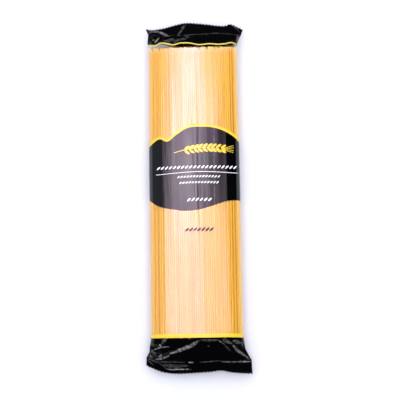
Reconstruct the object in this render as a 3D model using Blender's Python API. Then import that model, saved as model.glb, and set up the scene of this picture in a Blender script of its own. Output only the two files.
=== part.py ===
"""A 500 g packet of dry spaghetti: a bundle of long strands sealed in a tight tube of clear film.

The packet lies on its back, +Z up, its length along Y and its top end towards +Y. The bag is
shut, so it is one closed solid out to the film: a long body filled by the bundle, and at each
end a folded shoulder that closes down to a flat fin, where the film is sealed to itself.
Units are metres. The origin is at the bottom centre of the packet's box.
"""

import math
from collections import namedtuple

import bmesh
import bpy
from mathutils import Vector
from mathutils.geometry import delaunay_2d_cdt

NAME = "spaghetti_pack"

# What the packet holds sets how thick it is.
NET_MASS = 0.500
PASTA_DENSITY = 1470.0  # kg per cubic metre of dry durum wheat pasta
STRAND_LENGTH = 0.255
PACKING = 0.83  # share of the bundle's cross-section that is pasta
FILM_SLACK = 0.0004  # air between the bundle and the film

# The body's cross-section: a low dome over a nearly flat back.
WIDTH_AT_TOP = 0.0773
WIDTH_AT_BOTTOM = 0.0808
DOME_POWER = 2.3  # superellipse power of the section above its widest level
BACK_POWER = 4.5  # and below it
BACK_SHARE = 0.40  # share of the thickness below the widest level
REST_FLAT = 0.0004  # how far the back is pressed flat on the surface it lies on
END_SINK = 0.02  # share of the thickness lost at the bundle's ends, where the film pulls in
END_SINK_POWER = 8  # how late along the body that happens
UNEVEN = 0.0004  # how far the dome and the sides stray from their true shape

AROUND = 64  # points round the body, a multiple of 4
RINGS = 19  # cross-sections along the body

# The sealed ends.
FIN_THICKNESS = 0.0010  # two layers of crumpled film
FIN_STEPS = 24  # pieces of a fin's free edge

# A place on an end: across is a share of the body's half width, out a share of the shoulder's
# reach beyond the bundle, and up a share of the body's thickness.
Spot = namedtuple("Spot", "across out up")

# An end: the side of the bundle it is on, the shoulder's reach, where the folds leave the
# bundle's rim, the knuckles they run through, the foot where the shoulder meets the fin, the
# two silhouettes from rim to foot, the fin's free edge, and the folds between named places.
End = namedtuple("End", "side reach crests knuckles foot left_side right_side edge folds")

BOTTOM_END = End(
    side=-1,
    reach=0.0165,
    crests={"crest_left": 0.03, "crest_right": 0.55},
    knuckles={
        "knuckle_left": Spot(-0.66, 0.30, 0.72),
        "hollow_left": Spot(-0.82, 0.60, 0.52),
        "ridge_left": Spot(-0.40, 0.50, 0.72),
        "knuckle_right": Spot(0.86, 0.36, 0.70),
    },
    foot=[
        Spot(-1.09, 0.81, 0.42),
        Spot(-0.86, 0.95, 0.53),
        Spot(-0.42, 1.04, 0.56),
        Spot(0.06, 1.05, 0.56),
        Spot(0.62, 1.02, 0.54),
        Spot(1.15, 1.02, 0.42),
    ],
    left_side=[Spot(-1.015, 0.22, 0.44), Spot(-1.025, 0.52, 0.42)],
    right_side=[Spot(1.01, 0.20, 0.44), Spot(1.02, 0.42, 0.42), Spot(1.08, 0.72, 0.41)],
    edge=[
        Spot(-1.10, 1.29, 0.31),
        Spot(-0.82, 1.61, 0.28),
        Spot(-0.55, 1.75, 0.28),
        Spot(-0.16, 1.74, 0.32),
        Spot(0.28, 1.67, 0.37),
        Spot(0.50, 1.61, 0.39),
        Spot(0.78, 1.75, 0.33),
        Spot(1.17, 1.82, 0.28),
    ],
    folds=[
        ("crest_left", "ridge_left"),
        ("ridge_left", "foot_1"),
        ("knuckle_left", "hollow_left"),
        ("hollow_left", "foot_1"),
        ("knuckle_left", "left_side_1"),
        ("crest_right", "foot_right"),
        ("crest_right", "knuckle_right"),
        ("knuckle_right", "right_side_2"),
    ],
)

TOP_END = End(
    side=1,
    reach=0.0113,
    crests={"crest_left": -0.30, "crest_right": 0.62},
    knuckles={
        "knuckle_left": Spot(-0.80, 0.36, 0.74),
        "hollow_left": Spot(-0.56, 0.50, 0.70),
        "pleat": Spot(-0.34, 0.50, 0.80),
        "knuckle_right": Spot(0.84, 0.42, 0.74),
    },
    foot=[
        Spot(-0.99, 0.96, 0.50),
        Spot(-0.62, 0.80, 0.62),
        Spot(-0.28, 0.90, 0.64),
        Spot(0.06, 0.99, 0.64),
        Spot(0.62, 0.99, 0.62),
        Spot(1.09, 0.82, 0.50),
    ],
    left_side=[Spot(-1.01, 0.36, 0.46), Spot(-1.00, 0.68, 0.48)],
    right_side=[Spot(1.01, 0.27, 0.46), Spot(1.045, 0.54, 0.48)],
    edge=[
        Spot(-1.06, 1.50, 0.46),
        Spot(-0.92, 1.36, 0.52),
        Spot(-0.62, 1.49, 0.53),
        Spot(-0.20, 1.84, 0.54),
        Spot(0.16, 1.80, 0.50),
        Spot(0.70, 1.60, 0.48),
        Spot(0.86, 1.74, 0.44),
        Spot(1.14, 1.29, 0.44),
    ],
    folds=[
        ("crest_left", "pleat"),
        ("pleat", "foot_2"),
        ("pleat", "hollow_left"),
        ("hollow_left", "foot_1"),
        ("knuckle_left", "foot_1"),
        ("crest_right", "knuckle_right"),
        ("knuckle_right", "foot_right"),
    ],
)


def clear_scene():
    for obj in list(bpy.data.objects):
        bpy.data.objects.remove(obj, do_unlink=True)


def superellipse_fill(power):
    """The share of its box that a superellipse of this power fills."""
    return math.gamma(1 + 1 / power) ** 2 / math.gamma(1 + 2 / power)


def bundle_thickness():
    """How thick the body is, from the pasta it holds and the width of its section."""
    area = NET_MASS / (PASTA_DENSITY * STRAND_LENGTH * PACKING)
    width = (WIDTH_AT_TOP + WIDTH_AT_BOTTOM) / 2 - 2 * FILM_SLACK
    dome = superellipse_fill(DOME_POWER) * (1 - BACK_SHARE)
    back = superellipse_fill(BACK_POWER) * BACK_SHARE
    return area / (width * (dome + back)) + 2 * FILM_SLACK


THICKNESS = bundle_thickness()


def along(y):
    """Where y lies on the bundle, from -1 at its bottom end to 1 at its top end."""
    return 2 * y / STRAND_LENGTH


def half_width(y):
    share = (along(y) + 1) / 2
    width = WIDTH_AT_BOTTOM + (WIDTH_AT_TOP - WIDTH_AT_BOTTOM) * share
    return width / 2 + UNEVEN * 0.6 * math.sin(5.1 * along(y) + 0.7)


def thickness(y):
    return THICKNESS * (1 - END_SINK * along(y) ** END_SINK_POWER)


def unevenness(angle, y):
    """Low swells along the dome, where the strands bunch up under the film."""
    swell = math.sin(3 * angle + 2.2 * along(y)) + 0.7 * math.sin(7 * angle - 3.1 * along(y) + 1.0)
    return UNEVEN * math.sin(angle) ** 2 * swell


def signed_power(value, power):
    return math.copysign(abs(value) ** power, value)


def section_point(y, angle):
    """A point of the body's section at y, with angle 0 at +X and a quarter turn at the top."""
    power = DOME_POWER if math.sin(angle) >= 0 else BACK_POWER
    across = signed_power(math.cos(angle), 2 / power)
    rise = signed_power(math.sin(angle), 2 / power)
    widest = BACK_SHARE * thickness(y)
    if rise >= 0:
        z = widest + (thickness(y) - widest + unevenness(angle, y)) * rise
    else:
        z = max(0.0, widest + (widest + REST_FLAT) * rise)
    return Vector((half_width(y) * across, y, z))


def smooth_run(spots, pieces):
    """Spots on a Catmull-Rom curve through the given ones, dividing it into so many pieces."""
    padded = [Vector(spot) for spot in (spots[0], *spots, spots[-1])]
    run = []
    for k in range(pieces + 1):
        place = k / pieces * (len(spots) - 1)
        first = min(int(place), len(spots) - 2)
        t = place - first
        a, b, c, d = padded[first : first + 4]
        bend = (a * 2 - b * 5 + c * 4 - d) * t**2 + (b * 3 - a - c * 3 + d) * t**3
        run.append(Spot(*((b * 2 + (c - a) * t + bend) / 2)))
    return run


def outline_of(end):
    """The named spots round an end, from the rim's right side over the fin's edge to its left."""
    outline = {f"right_side_{k}": spot for k, spot in enumerate(end.right_side, 1)}
    outline["foot_right"] = end.foot[-1]
    outline.update({f"edge_{k}": spot for k, spot in enumerate(smooth_run(end.edge[::-1], FIN_STEPS))})
    outline["foot_left"] = end.foot[0]
    for k in range(len(end.left_side), 0, -1):
        outline[f"left_side_{k}"] = end.left_side[k - 1]
    return outline


class PackBuilder:
    """Collects the solid's points and faces, then makes the mesh."""

    def __init__(self):
        self.points = []
        self.faces = []

    def add(self, point):
        self.points.append(point)
        return len(self.points) - 1

    def body(self):
        """The rings of the body, joined by quads. Returns the bottom and the top ring."""
        rings = []
        for k in range(RINGS):
            y = STRAND_LENGTH * (k / (RINGS - 1) - 0.5)
            rings.append([self.add(section_point(y, math.tau * i / AROUND)) for i in range(AROUND)])
        for lower, upper in zip(rings, rings[1:]):
            for i in range(AROUND):
                j = (i + 1) % AROUND
                self.faces.append((lower[i], lower[j], upper[j], upper[i]))
        return rings[0], rings[-1]

    def place(self, end, spot, lift=0.0):
        """A spot of an end as a new point, raised by lift."""
        y = end.side * STRAND_LENGTH / 2
        x = spot.across * half_width(y)
        z = spot.up * thickness(y) + lift
        return self.add(Vector((x, y + end.side * spot.out * end.reach, z)))

    def wall(self, end, rim, outline, inner, folds):
        """One wall of an end: triangles from the bundle's rim out to the outline, with every fold
        an edge."""
        used = [*rim, *outline, *inner]
        flat = [self.points[p].xy for p in used]
        border = list(range(len(rim) + len(outline)))
        edges = [(used.index(a), used.index(b)) for a, b in folds]
        made, _, triangles, origin = delaunay_2d_cdt(flat, edges, [border], 1, 1e-7)[:4]
        if len(made) != len(used):
            raise ValueError(f"two folds of the end on side {end.side} cross each other")
        self.faces += [tuple(used[origin[v][0]] for v in face) for face in triangles]

    def end(self, end, ring):
        """A folded shoulder and its fin: an upper wall, a lower wall, and the thin edge between."""
        half = AROUND // 2
        outline = outline_of(end)
        foot = {f"foot_{k}": spot for k, spot in enumerate(end.foot[1:-1], 1)}
        foot_line = ["foot_left", *foot, "foot_right"]

        upper_rim = ring[half::-1]
        upper = {n: self.place(end, s, FIN_THICKNESS / 2) for n, s in {**outline, **foot}.items()}
        upper.update({n: self.place(end, s) for n, s in end.knuckles.items()})
        for name, across in end.crests.items():
            x = across * half_width(0)
            upper[name] = min(upper_rim, key=lambda p: abs(self.points[p].x - x))
        folds = [*end.folds, *zip(foot_line, foot_line[1:])]
        free = [upper[n] for n in outline]
        inside = [upper[n] for n in (*foot, *end.knuckles)]
        self.wall(end, upper_rim, free, inside, [(upper[a], upper[b]) for a, b in folds])

        lower_rim = [*ring[half:], ring[0]]
        lower = {n: self.place(end, s, -FIN_THICKNESS / 2) for n, s in {**outline, **foot}.items()}
        folds = [(lower[a], lower[b]) for a, b in zip(foot_line, foot_line[1:])]
        under = [lower[n] for n in outline]
        self.wall(end, lower_rim, under, [lower[n] for n in foot], folds)

        above, below = [ring[0], *free, ring[half]], [ring[0], *under, ring[half]]
        for k in range(len(above) - 1):
            corners = (above[k], above[k + 1], below[k + 1], below[k])
            self.faces.append(tuple(dict.fromkeys(corners)))

    def mesh(self):
        """The closed mesh, with the origin at the bottom centre of its box."""
        low = Vector(min(p[k] for p in self.points) for k in range(3))
        high = Vector(max(p[k] for p in self.points) for k in range(3))
        middle = Vector(((low.x + high.x) / 2, (low.y + high.y) / 2, low.z))
        mesh = bpy.data.meshes.new(NAME)
        mesh.from_pydata([p - middle for p in self.points], [], self.faces)
        work = bmesh.new()
        work.from_mesh(mesh)
        bmesh.ops.recalc_face_normals(work, faces=work.faces)
        work.to_mesh(mesh)
        work.free()
        return mesh


def film_over_pasta():
    """Clear glossy film over golden pasta, as one colour."""
    material = bpy.data.materials.new("film_over_pasta")
    material.use_nodes = True
    shader = material.node_tree.nodes["Principled BSDF"]
    shader.inputs["Base Color"].default_value = (0.90, 0.58, 0.22, 1.0)
    shader.inputs["Roughness"].default_value = 0.15
    shader.inputs["Metallic"].default_value = 0.0
    return material


def main():
    clear_scene()
    builder = PackBuilder()
    bottom_ring, top_ring = builder.body()
    builder.end(BOTTOM_END, bottom_ring)
    builder.end(TOP_END, top_ring)
    mesh = builder.mesh()
    mesh.materials.append(film_over_pasta())
    mesh.shade_smooth()
    mesh.set_sharp_from_angle(angle=math.radians(30))
    pack = bpy.data.objects.new(NAME, mesh)
    bpy.context.scene.collection.objects.link(pack)


main()
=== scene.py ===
"""The looks of a packet of dry spaghetti: the strands, the clear film round them and its print.

Everything is in the CAD row's frame, in metres: +Z up, +Y along the strands towards the packet's
top end. The CAD solid is measured first. The strands are packed into its section, the film is
drawn tight round them, and at both ends it follows the solid's folds out to the sealed fins.
"""

import math
from collections import namedtuple

import bpy
import numpy as np
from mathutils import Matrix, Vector
from mathutils.bvhtree import BVHTree


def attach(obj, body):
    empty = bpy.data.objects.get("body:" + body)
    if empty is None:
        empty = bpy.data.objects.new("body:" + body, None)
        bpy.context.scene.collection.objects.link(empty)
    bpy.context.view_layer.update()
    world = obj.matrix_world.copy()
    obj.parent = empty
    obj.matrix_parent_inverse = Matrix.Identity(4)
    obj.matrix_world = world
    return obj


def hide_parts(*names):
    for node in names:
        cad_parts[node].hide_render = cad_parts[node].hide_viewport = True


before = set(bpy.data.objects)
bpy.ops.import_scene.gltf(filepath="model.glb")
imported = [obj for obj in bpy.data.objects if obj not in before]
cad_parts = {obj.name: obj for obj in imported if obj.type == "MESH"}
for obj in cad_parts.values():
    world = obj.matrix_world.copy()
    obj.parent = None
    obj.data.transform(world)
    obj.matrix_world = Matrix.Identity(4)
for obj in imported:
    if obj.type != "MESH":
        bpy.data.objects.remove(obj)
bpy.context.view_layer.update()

PACK = "spaghetti_pack"
BODY = "root"
BOTTOM, TOP = -1, 1  # the packet's two ends, by their side of the bundle
MM = 0.001

# The strands.
NET_MASS = 0.500
PASTA_DENSITY = 1470.0
STRAND_DIAMETER = 1.80 * MM
STRAND_LENGTH = 250.0 * MM
END_SCATTER = 1.5 * MM  # how far strands slide along each other, each way
BOTTOM_GAP = 4.8 * MM  # how far the mean bottom tip is inside the bundle's end
STRAND_SIDES = 10
STATIONS = 9  # cross-sections at which the strands are packed
SKEW = 0.9 * MM  # how far a strand drifts sideways from end to end, before packing
PACKING_ROUNDS = 240
BUNDLE_INSET = 0.18 * MM  # from the solid's surface to the outermost strands
DUST_REACH = 7.0 * MM  # how far down from the top the strands are dusty

TOP_GAP = 1.3 * MM  # how far every top tip is inside the bundle's end, or more

# How far the top tips are inside the bundle's end, in millimetres: across from the middle, then in.
TOP_TIPS = [
    (-40, 2.4), (-33, 2.8), (-29, 2.8), (-23, 2.7), (-18, 2.5), (-5, 2.6), (12, 2.9), (22, 2.6), (29, 1.6), (40, 1.8),
]

# The film.
FILM_LIFT = 0.03 * MM  # air between the strands and the film
ACROSS = 128  # pieces of the film's front from side to side, and of its back
STATION_STEP = 3.0 * MM  # spacing of the sections that the film is drawn round
END_BLEND = 4.0 * MM  # over which the film leaves the strands for the solid's rim
TURN_DOWN = {BOTTOM: 4.2 * MM, TOP: 1.2 * MM}  # how far inside the bundle's ends the film turns down
TURN_SOFTNESS = 0.25 * MM
FIN_GAP = 0.12 * MM  # between the middles of a fin's two layers
RIB_PITCH = 1.4 * MM  # of the ribs that the sealing jaws press into the fins
RIB_HEIGHT = 0.025 * MM
TOOTH = 1.1 * MM  # depth of the saw-cut free edge
TOOTH_COLUMNS = 4  # pieces of the film across to each tooth
TOOTH_ROWS = 8  # rows of the film over which the teeth fade into the fin
INK_LIFT = 0.04 * MM
DECAL_LIFT = 0.14 * MM
FLOOR_GAP = 0.11 * MM  # the least height of the film over what the packet lies on

# The seam down the middle of the packet's back, folded flat.
SEAM_ACROSS = (-5.5, 6.5)
SEAM_LIFT = 0.06 * MM
SEAM_RIB_PITCH = 1.8 * MM

# The label's edges, in millimetres from the bundle's middle: across, then along.
LABEL_TOP = [
    (-39, 41.0), (-34.3, 45.0), (-30, 47.4), (-23, 45.2), (-14.8, 51.1), (-6, 56.3),
    (6, 57.5), (18.2, 56.3), (28, 52.7), (36.5, 46.8), (39, 44.2),
]
LABEL_BOTTOM = [
    (-39, -5.3), (-32.4, -9.6), (-20, -12.7), (-8.2, -14.2), (4, -13.1), (16, -9.8),
    (29, -6.2), (34.3, -6.0), (39, -6.4),
]
BORDER = 2.2 * MM  # width of the yellow edge of the label

# The end prints, in millimetres past the bundle's end: across, then out.
BOTTOM_LINE = [(-40, -3.4), (-30, -4.3), (-15, -4.6), (15, -4.6), (32, -3.9), (40, -2.7)]
BOTTOM_LINE_WIDTH = 3.4 * MM
TOP_LINE = [
    (-38, 0.9), (-33, 0.2), (-29, 1.9), (-20.4, 0.7), (-17.5, 0.0), (-10.8, 1.5), (-4, 1.5),
    (6.4, -0.4), (14, 0.4), (24.5, 0.1), (29.5, 0.7), (35, 1.9), (38.5, 0.8),
]
TOP_LINE_WIDTH = 1.1 * MM
# Where their edges cross the back.
BACK_LINES = {
    BOTTOM: [(-40, -4.6), (0, -4.6), (40, -4.6)],
    TOP: [(-40, 3.6), (-26, 3.0), (-17, 1.0), (0, 0.6), (40, 0.6)],
}

# Creases, in millimetres: their spots, width, height, and how far the ink there is paled, as scuffing and as a painted
# highlight along the fold.
Crease = namedtuple("Crease", "spots width height scuff")

# Along the bundle: across from its middle, then along.
BODY_CREASES = [
    Crease([(1.6, 118), (2.2, 60), (1.5, 20), (2.4, -40), (1.8, -118)], 1.9, 0.16, 0.0),
    Crease([(16.6, 112), (17.2, 50), (17.0, -12), (17.6, -60)], 1.2, 0.12, 0.24),
    Crease([(-17.5, 100), (-18.5, 40), (-17.5, -30)], 2.4, 0.12, 0.0),
]
# At the ends: across from the bundle's middle, then out past its end.
END_CREASES = {
    BOTTOM: [
        Crease([(0.5, -1.4), (-4.4, 2.0), (-12.4, 5.4), (-23.5, 9.8)], 4.4, 1.0, 0.5),
        Crease([(-24.5, 11.6), (-30.8, 14.5), (-36.4, 15.0)], 2.2, 0.6, 0.35),
        Crease([(-3.0, 0.2), (4.0, -3.2)], 1.4, 0.3, 0.16),
        Crease([(-40.0, 7.2), (-36.0, 6.1), (-30.5, 3.6), (-24.6, 3.4)], 1.5, 0.4, 0.65),
        Crease([(-32.6, 1.2), (-31.4, 3.6)], 1.3, 0.3, 1.0),
        Crease([(-27.2, -3.6), (-30.6, 0.8)], 3.6, 0.5, 0.3),
        Crease([(-35.4, 17.3), (-23.0, 17.1), (-11.0, 17.8)], 1.3, 0.05, 0.16),
        Crease([(-8.0, 17.9), (-3.4, 18.0)], 1.2, 0.08, 1.0),
        Crease([(2.4, 17.9), (10.0, 17.5), (18.8, 16.9)], 1.3, 0.05, 0.16),
        Crease([(20.0, 17.6), (28.9, 18.3), (38.0, 18.3)], 1.8, 0.06, 0.24),
        Crease([(35.0, 18.3), (46.4, 18.5)], 1.6, 0.08, 0.65),
        Crease([(-27.5, 23.8), (-19.5, 25.0)], 1.3, 0.2, 0.6),
        Crease([(-22.0, 24.3), (-5.6, 24.2)], 1.4, 0.2, 0.8),
        # A wide faint band of painted sheen on the fin.
        Crease([(-29.0, 20.0), (-20.0, 21.6), (-9.0, 21.0)], 5.5, 0.1, 0.11),
        Crease([(-42.8, 14.5), (-33.0, 18.3), (-27.4, 23.6)], 1.5, 0.3, 0.2),
        Crease([(-43.6, 15.6), (-37.6, 20.8)], 1.5, 0.3, 0.14),
        Crease([(18.4, -1.6), (24.0, 2.6)], 1.6, 0.45, 0.4),
        Crease([(23.0, 2.2), (28.4, 8.2)], 1.6, 0.3, 0.14),
        Crease([(30.6, 3.0), (33.9, 7.4), (43.6, 15.2)], 3.4, 0.7, 0.34),
        # Wide faint bands of painted sheen on the black around the bundle's end.
        Crease([(4.0, -2.4), (18.0, -2.2)], 3.0, 0.15, 0.20),
        Crease([(22.0, -2.4), (29.5, 1.6)], 4.4, 0.2, 0.22),
        Crease([(31.0, -0.8), (38.5, 1.8)], 4.4, 0.3, 0.26),
        Crease([(9.2, 2.6), (9.8, 3.8)], 1.4, 0.2, 0.3),
    ],
    TOP: [
        Crease([(-32.5, 2.8), (-28.7, 7.8)], 1.4, 0.45, 0.65),
        Crease([(-34.2, 5.7), (-33.2, 6.4)], 1.6, 0.3, 0.7),
        Crease([(-20.6, 9.2), (-26.0, 11.8), (-30.0, 13.2), (-34.0, 13.4)], 2.6, 0.5, 0.32),
        Crease([(-6.0, 19.0), (-8.6, 15.0), (-10.7, 12.0), (-12.2, 10.2)], 2.8, 0.4, 0.15),
        Crease([(-6.0, 9.7), (6.6, 10.0), (20.4, 11.0), (34.0, 10.0)], 1.5, 0.05, 0.09),
        Crease([(-24.0, 5.0), (-15.0, 4.6), (-5.6, 5.4)], 4.4, 0.1, 0.03),
        Crease([(33.6, 18.8), (38.5, 15.2), (41.6, 11.4)], 1.5, 0.2, 0.13),
        Crease([(38.1, 4.2), (41.0, 8.4)], 2.4, 0.3, 0.3),
    ],
}
# Where an end's upper side is drawn smooth: at each distance out, from across here to there.
SMOOTH_FACE = {
    BOTTOM: [(-2, 0, 6), (7, -13, 29), (11.5, -24, 36), (16, -36, 45), (30, -36, 48)],
    TOP: [(0, -6, 34), (30, -6, 36)],
}

# The softbox that the film mirrors: bands along it, from its end over the packet's bottom end to
# the one over its top end. Each has its place as a share of the softbox's length, the green in its
# light, and its brightness across: metres from the middle, then a share.
SOFTBOX_SIZE = (2.7, 0.9)
SOFTBOX_RADIANCE = 8.8
Band = namedtuple("Band", "place green across")
LABEL_GLOW = [
    (-1.35, 0.04), (-0.96, 0.10), (-0.87, 0.44), (-0.80, 0.60), (-0.60, 0.70), (-0.30, 0.76), (-0.14, 0.86),
    (-0.05, 1.12), (0.01, 1.08), (0.06, 0.54), (0.12, 0.40), (0.20, 0.25), (0.85, 0.18), (0.98, 0.10), (1.06, 0.0),
    (1.35, 0.0),
]
LOW_GLOW = [
    (-1.35, 0.05), (-1.0, 0.18), (-0.78, 0.42), (-0.62, 0.53), (-0.20, 0.54), (-0.06, 0.44), (0.12, 0.31),
    (0.60, 0.32), (1.15, 0.27), (1.35, 0.0),
]
TOP_GLOW = [
    (-1.35, 0.10), (-1.0, 0.14), (-0.72, 0.34), (-0.40, 0.50), (-0.28, 0.76), (-0.16, 0.90), (0.02, 0.84),
    (0.08, 0.62), (0.20, 0.56), (0.50, 0.31), (0.85, 0.15), (1.0, 0.05), (1.10, 0.0), (1.35, 0.0),
]
SOFTBOX_BANDS = [
    Band(0.0, 0.95, [(-1.35, 0.12), (1.35, 0.12)]),
    Band(0.06, 0.90, [(-1.35, 0.18), (1.35, 0.18)]),
    Band(0.15, 0.68, LOW_GLOW),
    Band(0.44, 0.68, [
        (-1.35, 0.05), (-1.0, 0.20), (-0.78, 0.46), (-0.62, 0.66), (-0.20, 0.72), (-0.04, 0.76), (0.10, 0.52),
        (0.20, 0.40), (0.78, 0.30), (0.95, 0.14), (1.08, 0.02), (1.2, 0.0), (1.35, 0.0),
    ]),
    Band(0.50, 0.86, LABEL_GLOW),
    Band(0.62, 0.86, LABEL_GLOW),
    Band(0.70, 0.68, TOP_GLOW),
    Band(0.92, 0.68, TOP_GLOW),
    Band(1.0, 0.95, [(-1.35, 0.15), (1.35, 0.15)]),
]

# The print on the label, in millimetres like its edges.
EAR = [(-17, 35.5), (8, 39.5), (33, 35.5)]  # the line of the wheat ear's stalk
EAR_PAIRS = 9
RULE = [(-33.1, 16.8), (4.4, 19.2), (37.2, 17.4)]
# Rows of slanting grains: from across, to across, along, a grain's length and width, spacing.
WHITE_ROWS = [
    (-32.5, 36.0, 22.2, 3.8, 1.4, 3.45),
    (-15.0, 22.5, 14.6, 2.8, 1.1, 2.65),
    (-13.5, 21.5, 9.6, 2.8, 1.1, 2.65),
    (-7.0, 13.5, -4.9, 3.9, 1.5, 3.6),
]
DARK_ROW = (-9.0, 16.5, -30.6, 4.6, 1.7, 3.5)
GRAIN_SLANT = math.radians(42)

rng = np.random.default_rng(7)


# Measuring the CAD solid.

def resample(points, count):
    """A polyline divided into count equal lengths: count + 1 points."""
    points = np.asarray(points, float)
    steps = np.linalg.norm(np.diff(points, axis=0), axis=1)
    length = np.concatenate([[0.0], np.cumsum(steps)])
    places = np.linspace(0.0, length[-1], count + 1)
    return np.stack([np.interp(places, length, points[:, k]) for k in range(points.shape[1])], axis=1)


class Solid:
    """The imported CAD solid: its points, its sections, and its height at any place."""

    def __init__(self, name):
        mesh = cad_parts[name].data
        mesh.calc_loop_triangles()
        corners = np.array([v.co for v in mesh.vertices])
        self.points, index = np.unique(np.round(corners, 6), axis=0, return_inverse=True)
        self.triangles = index.reshape(-1)[np.array([t.vertices for t in mesh.loop_triangles])]
        pairs = np.vstack([self.triangles[:, [0, 1]], self.triangles[:, [1, 2]], self.triangles[:, [2, 0]]])
        self.edges = np.unique(np.sort(pairs, axis=1), axis=0)
        self.tree = BVHTree.FromPolygons([Vector(p) for p in self.points], self.triangles.tolist())
        resting = self.points[self.points[:, 2] < 1e-5, 1]
        self.end_y = {BOTTOM: resting.min(), TOP: resting.max()}
        self.middle_y = (resting.min() + resting.max()) / 2
        middle = self.section(self.middle_y)
        self.middle_x = (middle[:, 0].min() + middle[:, 0].max()) / 2
        self.widest_z = middle[middle[:, 0].argmax(), 1]

    def section(self, y):
        """The body's section at y, anticlockwise, as (x, z)."""
        y = min(max(y, self.end_y[BOTTOM] + 2e-6), self.end_y[TOP] - 2e-6) + 7e-7
        a, b = self.points[self.edges[:, 0]], self.points[self.edges[:, 1]]
        cut = (a[:, 1] - y) * (b[:, 1] - y) < 0
        a, b = a[cut], b[cut]
        share = ((y - a[:, 1]) / (b[:, 1] - a[:, 1]))[:, None]
        points = (a + (b - a) * share)[:, [0, 2]]
        spokes = points - points.mean(axis=0)
        return points[np.argsort(np.arctan2(spokes[:, 1], spokes[:, 0]))]

    def outline(self, side):
        """The free outline of an end, (x, y, z) from the bundle's right rim over the fin to its left."""
        flat = [tuple(p) for p in np.round(self.points[:, :2], 6)]
        near, height = {}, {}
        for triangle in self.triangles:
            places = sorted({flat[v] for v in triangle})
            if len(places) != 2 or min(side * p[1] for p in places) < side * self.end_y[side] - 1e-5:
                continue
            near.setdefault(places[0], set()).add(places[1])
            near.setdefault(places[1], set()).add(places[0])
            for v in triangle:
                height.setdefault(flat[v], set()).add(self.points[v, 2])
        here = max((p for p in near if len(near[p]) == 1), key=lambda p: p[0])
        path = [here]
        while len(path) < len(near):
            here = next(p for p in near[here] if p not in path)
            path.append(here)
        return np.array([(*p, sum(height[p]) / len(height[p])) for p in path])

    def foot(self, side, path):
        """Where the shoulder meets the fin inside the outline, from right to left."""
        taken = {tuple(p) for p in np.round(path[:, :2], 6)}
        beyond = side * self.points[:, 1] > side * self.end_y[side] + 1e-4
        heights = {}
        for x, y, z in self.points[beyond]:
            heights.setdefault((round(x, 6), round(y, 6)), []).append(z)
        spots = [(*p, sum(z) / 2) for p, z in heights.items() if len(z) == 2 and p not in taken]
        return sorted(spots, reverse=True)

    def height(self, x, y, from_above):
        """The height of the solid's upper or lower face at (x, y)."""
        far = 1.0 if from_above else -1.0
        hit = self.tree.ray_cast(Vector((x, y, far)), Vector((0, 0, -far)))[0]
        if hit is None:
            hit = self.tree.find_nearest(Vector((x, y, self.widest_z)))[0]
        return hit.z


class End:
    """One sealed end: its side lines, its foot and its free edge, as the film follows them."""

    def __init__(self, solid, side):
        self.side = side
        self.rim = solid.end_y[side]
        path = solid.outline(side)
        right, left = self.corners(path, solid.middle_x)
        self.right, self.left = path[: right + 1], path[left:][::-1]
        self.edge = resample(path[right : left + 1], ACROSS)
        foot = np.array([path[right - 1], *solid.foot(side, path), path[left + 1]])
        self.foot = resample(foot, ACROSS)

    @staticmethod
    def corners(path, middle_x):
        """The sharpest turns of the outline right and left of the middle."""
        steps = np.diff(path[:, :2], axis=0)
        heading = np.unwrap(np.arctan2(steps[:, 1], steps[:, 0]))
        turn = np.concatenate([[0.0], np.abs(np.diff(heading)), [0.0]])
        on_right = path[:, 0] > middle_x
        return np.argmax(turn * on_right), np.argmax(turn * ~on_right)

    def side_at(self, line, y):
        """The (x, z) of a side line at y."""
        line = line if self.side > 0 else line[::-1]
        return np.interp(y, line[:, 1], line[:, 0]), np.interp(y, line[:, 1], line[:, 2])


# The strands.

def hull(points):
    """The convex hull of flat points, anticlockwise."""
    order = sorted(map(tuple, points))

    def chain(run):
        kept = []
        for p in run:
            while len(kept) > 1:
                (ax, ay), (bx, by) = kept[-2], kept[-1]
                if (bx - ax) * (p[1] - ay) - (by - ay) * (p[0] - ax) > 0:
                    break
                kept.pop()
            kept.append(p)
        return kept[:-1]

    return np.array(chain(order) + chain(order[::-1]))


def walls_of(polygon):
    """The outward unit normals of a convex polygon's edges, and their distances from the origin."""
    edges = np.roll(polygon, -1, axis=0) - polygon
    length = np.linalg.norm(edges, axis=1)
    keep = length > 1e-6
    normals = np.stack([edges[keep, 1], -edges[keep, 0]], axis=1) / length[keep, None]
    return normals, (normals * polygon[keep]).sum(axis=1)


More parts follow.
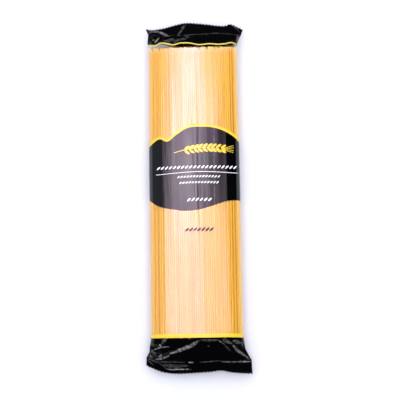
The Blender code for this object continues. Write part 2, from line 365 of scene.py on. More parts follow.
class Bundle:
    """The strands, packed side by side into the solid's sections."""

    def __init__(self, solid):
        self.radius = STRAND_DIAMETER / 2
        one = PASTA_DENSITY * math.pi * self.radius**2 * STRAND_LENGTH
        self.count = round(NET_MASS / one)
        self.y = np.linspace(solid.end_y[BOTTOM], solid.end_y[TOP], STATIONS)
        self.walls = [walls_of(hull(solid.section(y))) for y in self.y]
        self.places = self.pack(solid)
        gap = curve_through(TOP_TIPS, (self.places[-1, :, 0] - solid.middle_x) / MM) * MM
        gap += rng.uniform(-1, 1, self.count) * END_SCATTER
        self.top_tip = solid.end_y[TOP] - np.maximum(gap, TOP_GAP)
        lowest = solid.end_y[BOTTOM] + BOTTOM_GAP + rng.uniform(-1, 1, self.count) * END_SCATTER
        self.low_tip = np.maximum(self.top_tip - STRAND_LENGTH, lowest)
        self.tone = rng.uniform(0, 1, self.count)

    def start(self, solid):
        """A hexagonal grid of strands that fills the middle section."""
        normals, reach = self.walls[STATIONS // 2]
        inset = self.radius + BUNDLE_INSET
        low, high = solid.section(solid.middle_y).min(axis=0), solid.section(solid.middle_y).max(axis=0)
        for spacing in np.arange(1.25, 0.90, -0.002) * STRAND_DIAMETER:
            rows = np.arange(low[1], high[1], spacing * math.sqrt(0.75))
            grid = [(x + spacing * (k % 2) / 2, z) for k, z in enumerate(rows)
                    for x in np.arange(low[0] - spacing, high[0] + spacing, spacing)]
            grid = np.array(grid)
            inside = grid[(grid @ normals.T <= reach - inset * 0.6).all(axis=1)]
            if len(inside) >= self.count:
                return inside[np.sort(rng.permutation(len(inside))[: self.count])]
        raise ValueError("the strands don't fit the section")

    def close_pairs(self, places):
        """Every (station, strand, strand) that may touch soon."""
        near = []
        for k, spots in enumerate(places.astype(np.float32)):
            gaps = np.abs(spots[:, None] - spots[None]).max(axis=2)
            i, j = np.nonzero(np.triu(gaps < STRAND_DIAMETER * 1.25, 1))
            near.append(np.stack([np.full(len(i), k), i, j]))
        return np.concatenate(near, axis=1)

    def pack(self, solid):
        """Pushes overlapping strands apart and keeps them inside the sections and nearly straight."""
        grid = self.start(solid)
        drift = rng.normal(0, SKEW, (self.count, 2)) * (1.0, 0.3)
        along = np.linspace(-0.5, 0.5, STATIONS)[:, None, None]
        places = grid[None] + drift[None] * along + rng.normal(0, 0.25 * MM, (self.count, 2))[None]
        inset = self.radius + BUNDLE_INSET
        for round_number in range(PACKING_ROUNDS):
            if round_number % 12 == 0:
                k, i, j = self.close_pairs(places)
            apart = places[k, i] - places[k, j]
            distance = np.maximum(np.linalg.norm(apart, axis=1), 1e-7)
            overlap = np.maximum(STRAND_DIAMETER - distance, 0)
            push = apart * (overlap / distance * 0.48)[:, None]
            np.add.at(places, (k, i), push)
            np.add.at(places, (k, j), -push)
            if round_number < PACKING_ROUNDS - 30:
                bend = places[:-2] + places[2:] - 2 * places[1:-1]
                places[1:-1] += bend * 0.25
            for station, (normals, reach) in enumerate(self.walls):
                over = places[station] @ normals.T - (reach - inset)
                worst = over.argmax(axis=1)
                excess = np.maximum(over.max(axis=1), 0)
                places[station] -= normals[worst] * excess[:, None]
        return places

    def at(self, y):
        """The strands' middles at y, as (x, z)."""
        place = np.interp(y, self.y, np.arange(STATIONS))
        k = min(int(place), STATIONS - 2)
        return self.places[k] + (self.places[k + 1] - self.places[k]) * (place - k)

    def mesh(self):
        """All strands as closed round rods in one mesh, each with its own tone."""
        turns = np.arange(STRAND_SIDES) * math.tau / STRAND_SIDES
        ring = np.stack([np.cos(turns), np.sin(turns)], axis=1) * self.radius
        points, faces = [], []
        for i in range(self.count):
            first = len(points)
            for y in np.linspace(self.low_tip[i], self.top_tip[i], STATIONS):
                place = np.interp(y, self.y, np.arange(STATIONS))
                k = min(int(place), STATIONS - 2)
                middle = self.places[k, i] + (self.places[k + 1, i] - self.places[k, i]) * (place - k)
                points += [(middle[0] + u, y, middle[1] + v) for u, v in ring]
            for k in range(STATIONS - 1):
                base = first + k * STRAND_SIDES
                for s in range(STRAND_SIDES):
                    t = (s + 1) % STRAND_SIDES
                    faces.append((base + s, base + STRAND_SIDES + s, base + STRAND_SIDES + t, base + t))
            faces.append(tuple(range(first, first + STRAND_SIDES)))
            faces.append(tuple(reversed(range(len(points) - STRAND_SIDES, len(points)))))
        mesh = bpy.data.meshes.new("strands")
        mesh.from_pydata(points, [], faces)
        mesh.shade_smooth()
        mesh.set_sharp_from_angle(angle=math.radians(60))
        tone = mesh.attributes.new("tone", "FLOAT", "POINT")
        tone.data.foreach_set("value", np.repeat(self.tone, STATIONS * STRAND_SIDES))
        return mesh


# The film.

def smooth(share):
    """A smooth step from 0 to 1."""
    share = np.clip(share, 0, 1)
    return share * share * (3 - 2 * share)


def curve_through(spots, x):
    """A smooth curve through (x, y) spots, read at x: a cubic with Catmull-Rom slopes."""
    spots = np.asarray(spots, float)
    px, py = spots[:, 0], spots[:, 1]
    slopes = np.gradient(py, px)
    k = np.clip(np.searchsorted(px, x) - 1, 0, len(px) - 2)
    width = px[k + 1] - px[k]
    t = np.clip((x - px[k]) / width, 0, 1)
    rise = (1 + 2 * t) * (1 - t) ** 2 * py[k] + t * t * (3 - 2 * t) * py[k + 1]
    return rise + width * t * (1 - t) * ((1 - t) * slopes[k] - t * slopes[k + 1])


def curve_between(spots):
    """Many points of the smooth curve through a few spots."""
    x = np.linspace(spots[0][0], spots[-1][0], 40)
    return np.stack([x, curve_through(spots, x)], axis=1)


def round_outline(centres, radius):
    """The tight outline round discs with these middles, anticlockwise."""
    corners = hull(centres)
    edges = np.roll(corners, -1, axis=0) - corners
    leaving = np.arctan2(-edges[:, 0], edges[:, 1])
    arriving = np.roll(leaving, 1)
    points = []
    for corner, start, end in zip(corners, arriving, leaving):
        turn = (end - start) % math.tau
        steps = max(1, math.ceil(turn / math.radians(6)))
        for angle in start + turn * np.arange(steps + 1) / steps:
            points.append(corner + radius * np.array([math.cos(angle), math.sin(angle)]))
    return np.array(points)


def ring_from(section, level):
    """A section as 2 * ACROSS points: over the front from the right side to the left, then back
    under it. The sides are where the section crosses the level."""
    ahead = np.roll(section, -1, axis=0)
    crossings = {}
    for k in np.nonzero((section[:, 1] - level) * (ahead[:, 1] - level) <= 0)[0]:
        rise = ahead[k, 1] - section[k, 1]
        share = (level - section[k, 1]) / rise if rise else 0.0
        point = section[k] + (ahead[k] - section[k]) * share
        crossings["right" if rise > 0 else "left"] = (k, point)
    (i, right), (j, left) = crossings["right"], crossings["left"]
    round_trip = np.roll(section, -(i + 1), axis=0)
    turn = (j - i) % len(section)
    front = resample([right, *round_trip[:turn], left], ACROSS)
    back = resample([left, *round_trip[turn:], right], ACROSS)
    return np.vstack([front[:-1], back[:-1]])


def crumple(x, y, size, seed):
    """Straight-sided folds in every direction, between -1 and 1, of about the given size."""
    draw = np.random.default_rng(seed)
    total = np.zeros_like(x)
    for k in range(5):
        angle, phase, bend = draw.uniform(0, math.tau, 3)
        run = (x * math.cos(angle) + y * math.sin(angle)) / (size * draw.uniform(1.2, 2.4))
        sway = np.sin((x * math.sin(angle) - y * math.cos(angle)) / (size * 1.7) + bend) * 0.35
        saw = (run + sway + phase) % 1.0
        total += np.abs(saw * 2 - 1) * 2 - 1
    return total / 5


def distance_to(path, x, y):
    """How far each place is from a path of straight pieces, and where along it, as a share."""
    nearest, along = np.full(np.shape(x), np.inf), np.zeros(np.shape(x))
    lengths = [math.dist(a, b) for a, b in zip(path[:-1], path[1:])]
    passed = 0.0
    for (ax, ay), (bx, by), length in zip(path[:-1], path[1:], lengths):
        run, rise = bx - ax, by - ay
        share = np.clip(((x - ax) * run + (y - ay) * rise) / length**2, 0, 1)
        distance = np.hypot(x - ax - share * run, y - ay - share * rise)
        along = np.where(distance < nearest, (passed + share * length) / sum(lengths), along)
        nearest = np.minimum(nearest, distance)
        passed += length
    return nearest, along


class Film:
    """The bag as rows of 2 * ACROSS points: the front from right to left, then the back."""

    def __init__(self, solid, bundle):
        self.solid = solid
        self.ends = {side: End(solid, side) for side in (BOTTOM, TOP)}
        self.section_y, self.sections = self.draw_sections(bundle)
        self.even = np.concatenate([np.arange(ACROSS), ACROSS - np.arange(ACROSS)]) / ACROSS
        self.is_front = np.arange(2 * ACROSS) <= ACROSS
        middle = self.sections[len(self.sections) // 2]
        self.across = (middle[:, 0] - solid.middle_x) / MM
        self.rows = []
        self.marks = {}
        self.build()
        self.turn_down()
        self.scuff = np.zeros(self.rows.shape[:2])
        self.crease_body()
        self.crease_ends()
        self.cut_edges()
        self.rows[..., 2] = np.maximum(self.rows[..., 2], FLOOR_GAP)

    def draw_sections(self, bundle):
        """The film's sections along the bundle: tight round the strands, and on the solid at its rims."""
        low, high = self.solid.end_y[BOTTOM], self.solid.end_y[TOP]
        places = np.linspace(low, high, round((high - low) / STATION_STEP) + 1)
        level = self.solid.widest_z
        sections = []
        for y in places:
            tight = ring_from(round_outline(bundle.at(y), bundle.radius + FILM_LIFT), level)
            rim = ring_from(hull(self.solid.section(y)), level)
            to_rim = 1 - smooth(min(y - low, high - y) / END_BLEND)
            sections.append(tight + (rim - tight) * to_rim)
        return places, np.array(sections)

    def on_body(self, y):
        """The film at y along the bundle, for every column."""
        place = np.interp(y, self.section_y, np.arange(len(self.section_y)))
        k = np.minimum(place.astype(int), len(self.section_y) - 2)
        column = np.arange(2 * ACROSS)
        share = (place - k)[:, None]
        xz = self.sections[k, column] * (1 - share) + self.sections[k + 1, column] * share
        return np.stack([xz[:, 0], y, xz[:, 1]], axis=1)

    def on_shoulder(self, end, y):
        """The film at y between the bundle's end and the foot, for every column."""
        foot = end.foot[self.foot_column()]
        rim = self.on_body(np.full(2 * ACROSS, end.rim))
        out = np.clip((y - end.rim) / (foot[:, 1] - end.rim), 0, 1)
        across = self.share_across(end, rim) * (1 - out) + self.share_across(end, foot) * out
        (left, left_z), (right, right_z) = end.side_at(end.left, y), end.side_at(end.right, y)
        x = left + (right - left) * across
        z = np.empty_like(x)
        slim = (0.5 * MM - FIN_GAP / 2) * np.maximum(smooth(out), 1 - smooth(np.minimum(across, 1 - across) / 0.08))
        for c in range(2 * ACROSS):
            if c % ACROSS == 0:
                z[c] = right_z[c] if c == 0 else left_z[c]
                continue
            inner = left[c] + (right[c] - left[c]) * min(max(across[c], 0.001), 0.999)
            z[c] = self.solid.height(inner, y[c], self.is_front[c])
            z[c] += -slim[c] if self.is_front[c] else slim[c]
        return np.stack([x, y, z], axis=1)

    def over_rim(self, end, y):
        """The film at y on either side of an end's rim, for every column."""
        beyond = end.side * (y - end.rim) > 0
        shoulder = self.on_shoulder(end, np.where(beyond, y, end.rim))
        return np.where(beyond[:, None], shoulder, self.on_body(y))

    def foot_column(self):
        """Each column's place on a line from the right side to the left."""
        return np.round(self.even * ACROSS).astype(int)

    def share_across(self, end, points):
        """How far each point is from the left side line to the right one, 0 to 1."""
        left, right = end.side_at(end.left, points[:, 1])[0], end.side_at(end.right, points[:, 1])[0]
        return (points[:, 0] - left) / (right - left)

    def on_fin(self, end, out):
        """The film on a fin, out of 1 from its foot to its free edge."""
        foot, edge = end.foot[self.foot_column()], end.edge[self.foot_column()]
        points = foot + (edge - foot) * out
        for c in range(2 * ACROSS):
            if c % ACROSS == 0:
                continue
            x, y = points[c, :2]
            middle = (self.solid.height(x, y, True) + self.solid.height(x, y, False)) / 2
            points[c, 2] = middle + (FIN_GAP / 2 if self.is_front[c] else -FIN_GAP / 2)
        return points

    def add_rows(self, make, start, end, count, mark=None):
        """Rows from one place to another, without the last one. A mark keeps the first one's number."""
        if mark:
            self.marks[mark] = len(self.rows)
        for k in range(count):
            self.rows.append(make(start + (end - start) * k / count))

    def body_curve(self, spots):
        """A print edge on the body: its spots give the front, and the back joins their two ends."""
        y = curve_through(spots, self.across)
        right, left = y[0], y[ACROSS]
        back = left + (right - left) * smooth(1 - self.even)
        return self.solid.middle_y + np.where(self.is_front, y, back) * MM

    def end_curve(self, end, spots):
        """A print edge near an end, from spots across the front and out past the bundle's end."""
        out = curve_through(spots, self.across)
        from_side = np.minimum(self.even, 1 - self.even) / 0.08
        back = out[0] + (out[ACROSS] - out[0]) * self.even
        back += (curve_through(BACK_LINES[end.side], self.across) - back) * smooth(from_side)
        return end.rim + end.side * np.where(self.is_front, out, back) * MM

    def build(self):
        """All rows from the bottom fin's free edge to the top one's, with the print's edges marked."""
        bottom, top = self.ends[BOTTOM], self.ends[TOP]
        rim = {side: np.full(2 * ACROSS, end.rim) for side, end in self.ends.items()}
        foot = {side: end.foot[self.foot_column(), 1] for side, end in self.ends.items()}
        bottom_black = self.end_curve(bottom, BOTTOM_LINE)
        bottom_yellow = bottom_black + BOTTOM_LINE_WIDTH
        label_low, label_high = self.body_curve(LABEL_BOTTOM), self.body_curve(LABEL_TOP)
        slope = np.gradient(label_high[: ACROSS + 1], self.across[: ACROSS + 1] * MM)
        steepness = np.concatenate([np.hypot(1, np.clip(slope, -1.2, 1.2)), np.ones(ACROSS - 1)])
        border = label_high + BORDER * steepness
        near_top = rim[TOP] - 6 * MM
        top_line = self.end_curve(top, TOP_LINE)
        top_black = top_line + TOP_LINE_WIDTH

        self.add_rows(lambda t: self.on_fin(bottom, t), 1.0, 0.0, 24)
        self.add_rows(lambda y: self.on_shoulder(bottom, y), foot[BOTTOM], rim[BOTTOM], 34)
        self.add_rows(self.on_body, rim[BOTTOM], bottom_black, 8)
        self.add_rows(self.on_body, bottom_black, bottom_yellow, 3, "bottom_black")
        self.add_rows(self.on_body, bottom_yellow, label_low, 40, "bottom_yellow")
        self.add_rows(self.on_body, label_low, label_high, 28, "label_low")
        self.add_rows(self.on_body, label_high, border, 2, "label_high")
        self.add_rows(self.on_body, border, near_top, 26, "border")
        self.add_rows(lambda y: self.over_rim(top, y), near_top, top_line, 10)
        self.add_rows(lambda y: self.over_rim(top, y), top_line, top_black, 3, "top_line")
        self.add_rows(lambda y: self.over_rim(top, y), top_black, foot[TOP], 26, "top_black")
        self.add_rows(lambda t: self.on_fin(top, t), 0.0, 1.0, 24)
        self.rows.append(self.on_fin(top, 1.0))
        self.rows = np.array(self.rows)

    def turn_down(self):
        """Draws the film down over the strands' tips, in a straight slope to each fin's foot."""
        for side, end in self.ends.items():
            start = end.rim - side * TURN_DOWN[side]
            out = side * (self.rows[..., 1] - start)
            top = self.on_body(np.full(2 * ACROSS, start))[:, 2]
            foot = end.foot[self.foot_column()]
            foot_out = side * (foot[:, 1] - start)
            limit = top - out / foot_out * (top - foot[:, 2])
            height = self.rows[..., 2]
            lower = -TURN_SOFTNESS * np.logaddexp(-height / TURN_SOFTNESS, -limit / TURN_SOFTNESS)
            here = self.is_front & (out > -3 * MM) & (out < foot_out)
            self.rows[..., 2] = np.where(here, lower, height)

    def add_creases(self, creases, across, along):
        """Raises the front along the creases and marks where the ink is paled, as scuffing and painted highlight,
        unevenly and less at their tips.
        """
        for crease in creases:
            distance, share = distance_to(crease.spots, across, along)
            start = crease.spots[0][0]
            uneven = 0.7 + 0.2 * np.sin(share * 21 + start) + 0.1 * np.sin(share * 48 + start * 2)
            half_width = crease.width / 2 * (0.35 + 0.65 * np.sin(share**0.7 * math.pi))
            near = np.clip(1 - distance / half_width, 0, 1) * self.is_front
            self.rows[..., 2] += crease.height * MM * near * uneven
            self.scuff = np.maximum(self.scuff, crease.scuff * smooth(near * 1.4) * (uneven + 0.2))

    def crease_body(self):
        """Long shallow creases of the drawn film over the strands."""
        across = (self.rows[..., 0] - self.solid.middle_x) / MM
        along = (self.rows[..., 1] - self.solid.middle_y) / MM
        self.add_creases(BODY_CREASES, across, along)

    def crease_ends(self):
        """Folds, dents and creases in the shoulders and fins, and the ribs of the seals."""
        x, y = self.rows[..., 0], self.rows[..., 1]
        across = (x - self.solid.middle_x) / MM
        for side, end in self.ends.items():
            out = side * (y - end.rim)
            foot = side * (end.foot[self.foot_column(), 1] - end.rim)
            on_fin = smooth((out - foot) / (2 * MM) + 1)
            start = smooth((out + 1.0 * MM) / (4 * MM)) * np.where(self.is_front, 1, smooth((out - 3 * MM) / (5 * MM)))
            face = np.array(SMOOTH_FACE[side], float)
            left, right = (np.interp(out / MM, face[:, 0], face[:, k]) for k in (1, 2))
            calm = smooth((across - left) / 4) * smooth((right - across) / 4) * np.where(self.is_front, 1, on_fin)
            inner = smooth(np.minimum(self.even, 1 - self.even) / 0.05)
            big = crumple(x, y, 5.5 * MM, 11 + side) * 0.75 * MM
            small = crumple(x, y, 2.4 * MM, 31 + side) * 0.40 * MM
            amount = start * (inner + 0.2) * (1 - 0.8 * on_fin) * (1 - 0.85 * calm)
            self.rows[..., 2] += (big + small) * amount
            ribs = np.sin((out - foot) * math.tau / RIB_PITCH) * RIB_HEIGHT / 2
            self.rows[..., 2] += ribs * on_fin
            self.add_creases(END_CREASES[side], across, out / MM)

    def cut_edges(self):
        """Closes the free edges of the two layers and cuts them to saw teeth."""
        teeth = (self.foot_column() % TOOTH_COLUMNS) / (TOOTH_COLUMNS - 1) * TOOTH
        for row in (0, -1):
            points = self.rows[row]
            flipped = (2 * ACROSS - np.arange(2 * ACROSS)) % (2 * ACROSS)
            points[:, 2] = (points[:, 2] + points[flipped, 2]) / 2
        for k in range(TOOTH_ROWS):
            self.rows[k, :, 1] += teeth * (1 - k / TOOTH_ROWS)
            self.rows[-1 - k, :, 1] -= teeth * (1 - k / TOOTH_ROWS)

    def patch(self, first, last, lift=0.0):
        """The points, faces and scuffing-and-highlight values of the rows between two marks, lifted off the film."""
        points = (self.rows + self.normals() * lift)[first : last + 1]
        count = 2 * ACROSS
        faces = []
        for r in range(len(points) - 1):
            for c in range(count):
                d = (c + 1) % count
                faces.append((r * count + c, (r + 1) * count + c, (r + 1) * count + d, r * count + d))
        return points.reshape(-1, 3), faces, self.scuff[first : last + 1].reshape(-1)

    def normals(self):
        """The outward normal at every point of the rows, even where a fold turns the film over."""
        around = np.roll(self.rows, -1, axis=1) - np.roll(self.rows, 1, axis=1)
        along = np.gradient(self.rows, axis=0)
        normal = np.cross(along, around)
        length = np.linalg.norm(normal, axis=2, keepdims=True)
        normal /= np.maximum(length, 1e-12)
        turned_over = normal[..., 2] * np.where(self.is_front, 1, -1) < -0.2
        return np.where(turned_over[..., None], -normal, normal)

    def surface(self):
        """The film as a tree that rays can be cast at."""
        points, faces, scuff = self.patch(0, len(self.rows) - 1)
        return BVHTree.FromPolygons([Vector(p) for p in points], faces)


# The print.

class Print:
    """Strokes of one colour, laid on the front of the film."""

    def __init__(self, solid, surface):
        self.middle = np.array([solid.middle_x, solid.middle_y])
        self.surface = surface
        self.points = []
        self.faces = []

    def on_film(self, spot):
        """The place on the film of a spot given in millimetres from the bundle's middle."""
        x, y = self.middle + np.array(spot) * MM
        hit, normal = self.surface.ray_cast(Vector((x, y, 1.0)), Vector((0, 0, -1)))[:2]
        return hit + normal * DECAL_LIFT * (1 if normal.z > 0 else -1)

    def stroke(self, path, width, pointed=False):
        """A stroke along a path, blunt or tapering to both ends like a grain."""
        path = np.asarray(path, float)
        length = np.linalg.norm(np.diff(path, axis=0), axis=1).sum()
        path = resample(path, max(3, math.ceil(length / 0.6)))
        heading = np.gradient(path, axis=0)
        heading /= np.linalg.norm(heading, axis=1)[:, None]
        aside = np.stack([-heading[:, 1], heading[:, 0]], axis=1)
        half = np.full(len(path), width / 2)
        if pointed:
            half *= np.sin(np.linspace(0.06, 0.94, len(path)) * math.pi) ** 0.8
        first = len(self.points)
        for spot, side, reach in zip(path, aside, half):
            self.points += [self.on_film(spot + side * reach * k) for k in (-1, 0, 1)]
        for k in range(len(path) - 1):
            for j in (0, 1):
                a = first + 3 * k + j
                self.faces.append((a, a + 1, a + 4, a + 3))

    def grains(self, start, end, along, length, width, spacing):
        """A row of slanting grains, bowed like the rule above it."""
        middle, reach = (start + end) / 2, (end - start) / 2
        for across in np.arange(start + spacing / 2, end, spacing):
            bow = (1 - ((across - middle) / reach) ** 2) * 0.03 * reach
            half = np.array([math.cos(GRAIN_SLANT), math.sin(GRAIN_SLANT)]) * length / 2
            middle_spot = np.array([across, along + bow])
            self.stroke([middle_spot - half, middle_spot + half], width, pointed=True)

    def wheat_ear(self, line, pairs):
        """An ear of wheat on its side: a bowed stalk, pairs of grains, and awns at its tip."""
        (start, middle, end) = np.array(line, float)
        share = np.linspace(0, 1, 101)[:, None]
        stalk = start * (1 - share) ** 2 + (2 * middle - (start + end) / 2) * 2 * share * (1 - share) + end * share**2
        self.stroke(stalk[:78], 0.7)
        for k in range(pairs):
            root = stalk[16 + round(k * 62 / (pairs - 1))]
            for side in (-1, 1):
                turn = math.radians(33) * side
                ahead = np.array([math.cos(turn), math.sin(turn)])
                self.stroke([root + ahead * 0.9, root + ahead * 6.2], 2.3, pointed=True)
        for turn in np.radians((-16, -6, 6, 16)):
            ahead = np.array([math.cos(turn), math.sin(turn)])
            self.stroke([stalk[80], stalk[80] + ahead * 11], 0.45)


def seam_strip(solid, surface, stretches, lift):
    """Stretches of the folded seam under the back, as points and faces: ribbed and against the film."""
    points, faces = [], []
    columns = np.linspace(*SEAM_ACROSS, 13) * MM + solid.middle_x
    for low, high in stretches:
        rows = np.linspace(low, high, max(2, round((high - low) / (SEAM_RIB_PITCH / 4))))
        first = len(points)
        for y in rows:
            rib = math.cos(y * math.tau / SEAM_RIB_PITCH) * 0.2 * SEAM_LIFT
            for x in columns:
                hit = surface.ray_cast(Vector((x, y, -1.0)), Vector((0, 0, 1)))[0]
                points.append((x, y, hit.z - lift + rib))
        for r in range(len(rows) - 1):
            for c in range(len(columns) - 1):
                a = first + r * len(columns) + c
                faces.append((a, a + 1, a + len(columns) + 1, a + len(columns)))
    return points, faces


def add_piece(name, mesh, material):
    """A new object of the packet, with its finish and its body."""
    piece = bpy.data.objects.new(name, mesh)
    mesh.name = name
    mesh.materials.append(material)
    bpy.context.scene.collection.objects.link(piece)
    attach(piece, BODY)
    return piece


def add_sheet(name, points, faces, scuff, material, slot):
    """A new piece of film or ink, with its scuffing and painted highlight, if any."""
    mesh = bpy.data.meshes.new(name)
    mesh.from_pydata([tuple(p) for p in points], [], faces)
    mesh.shade_smooth()
    if scuff is not None:
        mesh.attributes.new("scuff", "FLOAT", "POINT").data.foreach_set("value", scuff)
    return add_piece(name, mesh, material)


# The materials.

class Finish:
    """A new material and its node tree."""

    def __init__(self, name):
        self.material = bpy.data.materials.new(name)
        self.material.use_nodes = True
        self.tree = self.material.node_tree
        self.shader = self.tree.nodes["Principled BSDF"]

    def add(self, kind, inputs, **settings):
        """A new node, its inputs set to values or joined to other nodes' outputs. Gives its outputs."""
        node = self.tree.nodes.new("ShaderNode" + kind)
        for name, value in settings.items():
            setattr(node, name, value)
        self.join(node, inputs)
        return node.outputs

    def join(self, node, inputs):
        for name, value in inputs.items():
            if isinstance(value, bpy.types.NodeSocket):
                self.tree.links.new(value, node.inputs[name])
            else:
                node.inputs[name].default_value = value

    def noise(self, scale, stretch=(1, 1, 1), detail=3.0):
        """Noise in the packet's own frame: its scale is in bumps to the metre."""
        place = self.add("TexCoord", {})["Object"]
        place = self.add("Mapping", {"Vector": place, "Scale": stretch})[0]
        return self.add("TexNoise", {"Vector": place, "Scale": scale, "Detail": detail})["Fac"]

    def spread(self, value, low, high, to_low=0.0, to_high=1.0):
        """A value between low and high, spread between two others."""
        inputs = {"Value": value, "From Min": low, "From Max": high, "To Min": to_low, "To Max": to_high}
        return self.add("MapRange", inputs)[0]

    def blend(self, share, first, second, kind="MIX"):
        """Two colours mixed by a share."""
        inputs = {"Factor": share, 6: first, 7: second}
        return self.add("Mix", inputs, data_type="RGBA", blend_type=kind)[2]

    def bump(self, height, depth):
        """A relief of the given depth in metres."""
        return self.add("Bump", {"Height": height, "Distance": depth, "Strength": 1.0})[0]


def pasta_finish(top):
    """Dry durum pasta: amber, a little translucent, faintly streaked, and dusty near the top tips."""
    finish = Finish("dry_pasta")
    tone = finish.add("Attribute", {}, attribute_name="tone")["Fac"]
    color = finish.blend(tone, (0.855, 0.435, 0.042, 1), (0.925, 0.555, 0.085, 1))
    streaks = finish.spread(finish.noise(900, (1, 0.03, 1)), 0.3, 0.7, 0.88, 1.0)
    color = finish.blend(1.0, color, streaks, "MULTIPLY")
    specks = finish.spread(finish.noise(1500, detail=1.0), 0.74, 0.80)
    color = finish.blend(specks, color, (0.50, 0.22, 0.05, 1))
    along = finish.add("SeparateXYZ", {"Vector": finish.add("TexCoord", {})["Object"]})["Y"]
    near_top = finish.spread(along, top - DUST_REACH, top, 0.0, 0.75)
    patches = finish.spread(finish.noise(160, (1, 0.3, 1)), 0.35, 0.65, 0.45, 1.0)
    dust = finish.add("Math", {0: near_top, 1: patches}, operation="MULTIPLY")[0]
    color = finish.blend(dust, color, (0.88, 0.67, 0.42, 1))
    grain = finish.noise(3000, (1, 0.12, 1))
    finish.join(finish.shader, {
        "Base Color": color,
        "Roughness": finish.spread(grain, 0.3, 0.7, 0.42, 0.58),
        "Normal": finish.bump(grain, 0.00003),
        "Subsurface Weight": 0.6,
        "Subsurface Radius": (1.0, 0.45, 0.12),
        "Subsurface Scale": 0.0025,
    })
    return finish.material


def film_finish():
    """Thin clear polypropylene: glossy, with faint smudges and ripples, and nothing to it face on."""
    finish = Finish("clear_film")
    facing = finish.add("LayerWeight", {"Blend": 0.5})["Facing"]
    rise = finish.add("Math", {0: facing, 1: 3.5}, operation="POWER")[0]
    haze = finish.spread(finish.noise(60, (1, 0.25, 1)), 0.35, 0.75, 0.072, 0.095)
    share = finish.add("Math", {0: rise, 1: 0.92, 2: haze}, operation="MULTIPLY_ADD")[0]
    ripples = finish.noise(220, (1, 0.08, 1))
    finish.join(finish.shader, {
        "Base Color": (0.98, 0.98, 1.0, 1),
        "Metallic": 1.0,
        "Roughness": finish.spread(finish.noise(90), 0.3, 0.7, 0.09, 0.16),
        "Normal": finish.bump(ripples, 0.00012),
    })
    clear = finish.add("BsdfTransparent", {})[0]
    mixed = finish.add("MixShader", {"Fac": share, 1: clear, 2: finish.shader.outputs[0]})[0]
    finish.join(finish.tree.nodes["Material Output"], {"Surface": mixed})
    return finish.material


def ink_finish(name, color, scuff_highlight_color, gloss=(0.10, 0.18), mirror=0.5, tinge=(1, 1, 1)):
    """Ink under glossy film, paler and duller along creases: partly scuffing, partly painted highlight where the folds
    would catch the light.
    """
    finish = Finish(name)
    scuff = finish.add("Attribute", {}, attribute_name="scuff")["Fac"]
    patchy = finish.spread(finish.noise(420, detail=5.0), 0.36, 0.58, 0.15, 1.0)
    wear_and_highlight = finish.add("Math", {0: scuff, 1: patchy}, operation="MULTIPLY")[0]
    smudges = finish.spread(finish.noise(80), 0.3, 0.7, *gloss)
    tint = finish.spread(finish.noise(300, (1, 0.2, 1)), 0.3, 0.7, 0.9, 1.0)
    flat = finish.blend(1.0, (*color, 1), tint, "MULTIPLY")
    finish.join(finish.shader, {
        # Paled towards the second colour along creases: painted highlight as well as scuffing.
        "Base Color": finish.blend(wear_and_highlight, flat, (*scuff_highlight_color, 1)),
        "Roughness": finish.add("Math", {0: wear_and_highlight, 1: 0.35, 2: smudges}, operation="MULTIPLY_ADD")[0],
        "Normal": finish.bump(finish.noise(220, (1, 0.08, 1)), 0.00010),
        "Specular IOR Level": mirror,
        "Specular Tint": (*tinge, 1),
    })
    return finish.material


def floor_finish():
    finish = Finish("pale_floor")
    finish.join(finish.shader, {"Base Color": (0.70, 0.70, 0.75, 1), "Roughness": 0.6})
    return finish.material


# The stage.

def add_lamp(name, place, size, radiance, color, in_reflections=True, on_surfaces=True):
    """A rectangular lamp that faces the packet, of the given radiance."""
    data = bpy.data.lights.new(name, "AREA")
    data.shape = "RECTANGLE"
    data.size, data.size_y = size
    data.energy = radiance * math.pi * size[0] * size[1]
    data.color = color
    lamp = bpy.data.objects.new(name, data)
    lamp.location = place
    lamp.rotation_euler = Vector((0, 0, 1)).rotation_difference(Vector(place)).to_euler()
    lamp.visible_glossy = in_reflections
    lamp.visible_diffuse = on_surfaces
    bpy.context.scene.collection.objects.link(lamp)
    return lamp


def shade_softbox(lamp):
    """Gives the softbox the brightness of its bands, blended from each one to the next."""
    lamp.data.use_nodes = True
    tree = lamp.data.node_tree

    def add(kind, *inputs):
        node = tree.nodes.new("ShaderNode" + kind)
        for socket, value in zip(node.inputs, inputs):
            if isinstance(value, bpy.types.NodeSocket):
                tree.links.new(value, socket)
            else:
                socket.default_value = value
        return node

    place = add("SeparateXYZ", add("NewGeometry").outputs["Parametric"]).outputs
    brightness, green = 0.0, SOFTBOX_BANDS[0].green
    for number, band in enumerate(SOFTBOX_BANDS):
        curve = add("FloatCurve", 1.0, place[0])
        spots = [(across / SOFTBOX_SIZE[0] + 0.5, share) for across, share in band.across]
        points = curve.mapping.curves[0].points
        points[0].location, points[1].location = spots[0], spots[-1]
        for spot in spots[1:-1]:
            points.new(*spot)
        curve.mapping.update()
        if number == 0:
            brightness = curve.outputs[0]
            continue
        last = SOFTBOX_BANDS[number - 1].place
        brightness = add("MapRange", place[1], last, band.place, brightness, curve.outputs[0]).outputs[0]
        green = add("MapRange", place[1], last, band.place, green, band.green).outputs[0]
    color = add("CombineColor", 1.0, green, 1.0).outputs[0]
    tree.links.new(brightness, tree.nodes["Emission"].inputs["Strength"])
    tree.links.new(color, tree.nodes["Emission"].inputs["Color"])


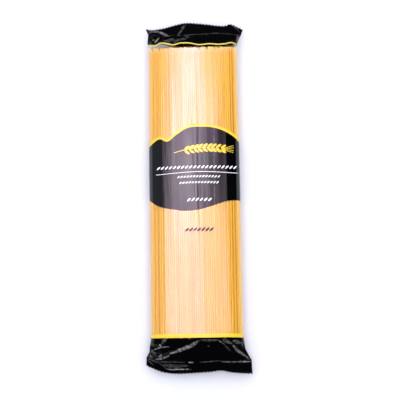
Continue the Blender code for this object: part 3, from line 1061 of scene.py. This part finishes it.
def set_stage(solid):
    """The floor, the lamps and the camera, straight above the packet."""
    scene = bpy.context.scene
    scene.view_settings.view_transform = "Standard"
    world = bpy.data.worlds.new("studio")
    world.use_nodes = True
    world.node_tree.nodes["Background"].inputs["Color"].default_value = (0.85, 0.9, 1.0, 1)
    world.node_tree.nodes["Background"].inputs["Strength"].default_value = 0.66
    world.cycles_visibility.glossy = False
    scene.world = world
    softbox = add_lamp("softbox", (0, 0, 1.6), SOFTBOX_SIZE, SOFTBOX_RADIANCE, (1.0, 1.0, 1.0), on_surfaces=False)
    shade_softbox(softbox)
    add_lamp("key", (0, 0.1, 1.6), (1.6, 1.2), 2.7, (1.0, 1.0, 1.0), in_reflections=False)
    add_lamp("fill", (0, 1.7, 1.4), (2.6, 1.6), 2.9, (1.0, 1.0, 1.0), in_reflections=False)
    add_lamp("left_panel", (-1.6, 0, 0.8), (1.4, 1.2), 0.52, (0.80, 0.86, 1.0))
    add_lamp("right_panel", (1.6, 0, 0.8), (1.4, 1.2), 0.35, (1.0, 0.98, 0.9), in_reflections=False)

    half = 5.0
    mesh = bpy.data.meshes.new("floor")
    mesh.from_pydata([(-half, -half, 0), (half, -half, 0), (half, half, 0), (-half, half, 0)], [], [(0, 1, 2, 3)])
    floor = bpy.data.objects.new("floor", mesh)
    mesh.materials.append(floor_finish())
    scene.collection.objects.link(floor)

    data = bpy.data.cameras.new("camera")
    data.lens = 100
    data.sensor_width = 36
    camera = bpy.data.objects.new("camera", data)
    view_width = 0.3468
    distance = view_width * data.lens / data.sensor_width
    camera.location = (solid.middle_x + 4.3 * MM, solid.middle_y - 5.2 * MM, 0.010 + distance)
    camera.rotation_euler = (0, 0, math.radians(-0.95))
    scene.collection.objects.link(camera)
    scene.camera = camera


def main():
    solid = Solid(PACK)
    set_stage(solid)
    bundle = Bundle(solid)
    add_piece("strands", bundle.mesh(), pasta_finish(solid.end_y[TOP]))
    film = Film(solid, bundle)
    last = len(film.rows) - 1
    clear = film_finish()
    bag = add_sheet("film_bag", *film.patch(0, last), clear, "clear_film")
    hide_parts(PACK)

    black = ink_finish("black_ink", (0.0015, 0.0015, 0.002), (0.44, 0.42, 0.43))
    creased_black = ink_finish("creased_black_ink", (0.0015, 0.0015, 0.002), (0.44, 0.42, 0.43), mirror=0.32, tinge=(0.88, 1, 0.9))
    yellow = ink_finish("yellow_ink", (0.82, 0.565, 0.035), (0.51, 0.465, 0.13), gloss=(0.15, 0.25))
    white = ink_finish("white_ink", (0.85, 0.85, 0.87), (0.85, 0.85, 0.87), gloss=(0.15, 0.25))
    marks = {**film.marks, "start": 0, "last": last}
    for name, first, end, ink, slot in (
        ("ink_bottom_end", "start", "bottom_black", creased_black, "black_print"),
        ("ink_bottom_line", "bottom_black", "bottom_yellow", yellow, "yellow_print"),
        ("ink_label", "label_low", "label_high", black, "black_print"),
        ("ink_label_border", "label_high", "border", yellow, "yellow_print"),
        ("ink_top_line", "top_line", "top_black", yellow, "yellow_print"),
        ("ink_top_end", "top_black", "last", creased_black, "black_print"),
    ):
        points, faces, scuff = film.patch(marks[first], marks[end], INK_LIFT)
        # The thin top line is paled and dulled all along it.
        if name == "ink_top_line":
            scuff = np.full(len(points), 0.9)
        add_sheet(name, points, faces, scuff, ink, slot)

    surface = film.surface()
    ear, rows, dark = (Print(solid, surface) for _ in range(3))
    ear.wheat_ear(EAR, EAR_PAIRS)
    rows.stroke(curve_between(RULE), 0.5)
    for row in WHITE_ROWS:
        rows.grains(*row)
    dark.grains(*DARK_ROW)
    add_sheet("print_wheat_ear", ear.points, ear.faces, None, yellow, "yellow_print")
    add_sheet("print_white_rows", rows.points, rows.faces, None, white, "white_print")
    add_sheet("print_dark_row", dark.points, dark.faces, None, black, "black_print")

    centre = ACROSS + ACROSS // 2
    level = {name: film.rows[row, centre, 1] for name, row in marks.items()}
    whole = [(film.ends[BOTTOM].rim - 12 * MM, film.ends[TOP].rim + 8 * MM)]
    printed = [(whole[0][0], level["bottom_black"]), (level["label_low"], level["label_high"]),
               (level["top_black"], whole[0][1])]
    add_sheet("back_seam", *seam_strip(solid, surface, whole, SEAM_LIFT), None, clear, "clear_film")
    add_sheet("ink_back_seam", *seam_strip(solid, surface, printed, SEAM_LIFT * 1.3), None, black, "black_print")


main()
